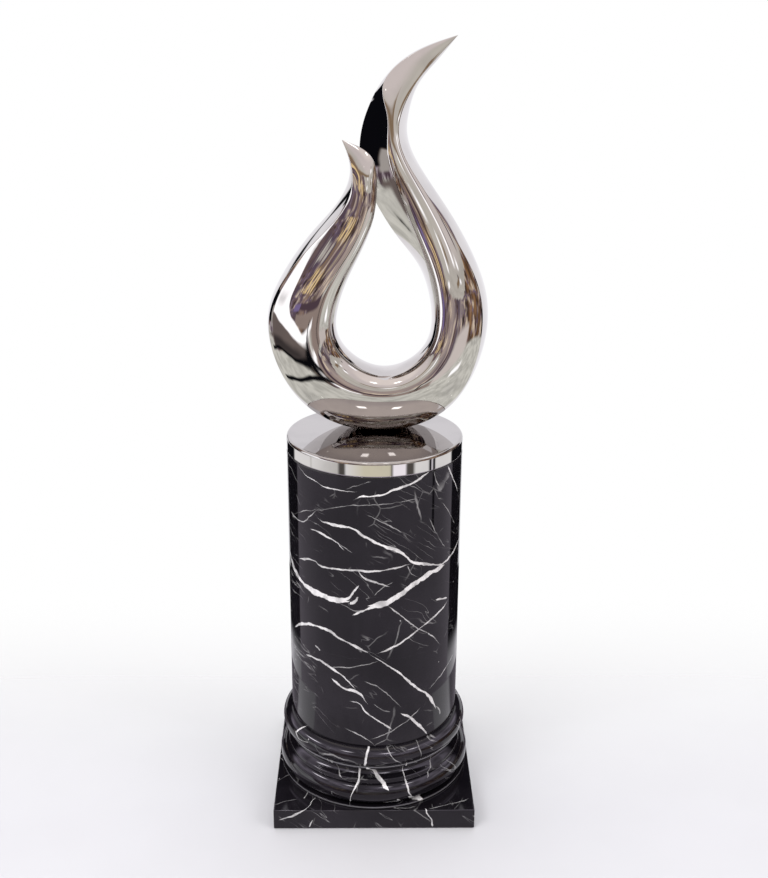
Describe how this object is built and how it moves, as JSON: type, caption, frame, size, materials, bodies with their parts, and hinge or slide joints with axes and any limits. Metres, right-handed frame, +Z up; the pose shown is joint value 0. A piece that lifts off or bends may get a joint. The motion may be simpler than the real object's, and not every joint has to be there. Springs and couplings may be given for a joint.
{
  "type": "abstract metal sculpture on a plinth",
  "caption": "Flame-shaped mirror-polished steel sculpture with an open teardrop centre, standing on a polished steel disc and a turned black marble column with a square plinth.",
  "frame": {"origin": "centre of the plinth's underside, on the column's axis", "axes": "+Z up along the column, front of the flame towards -Y, the tall tongue's tip towards +X"},
  "size_m": [0.4419, 0.417, 1.56],
  "materials": {
    "polished_steel": "mirror-polished stainless steel",
    "black_marble": "polished black marble with fine white veins"
  },
  "bodies": {
    "root": {"plinth_slab": "black_marble", "base_moulding": "black_marble", "column_shaft": "black_marble", "cap_disc": "polished_steel", "flame": "polished_steel"}
  },
  "joints": []
}
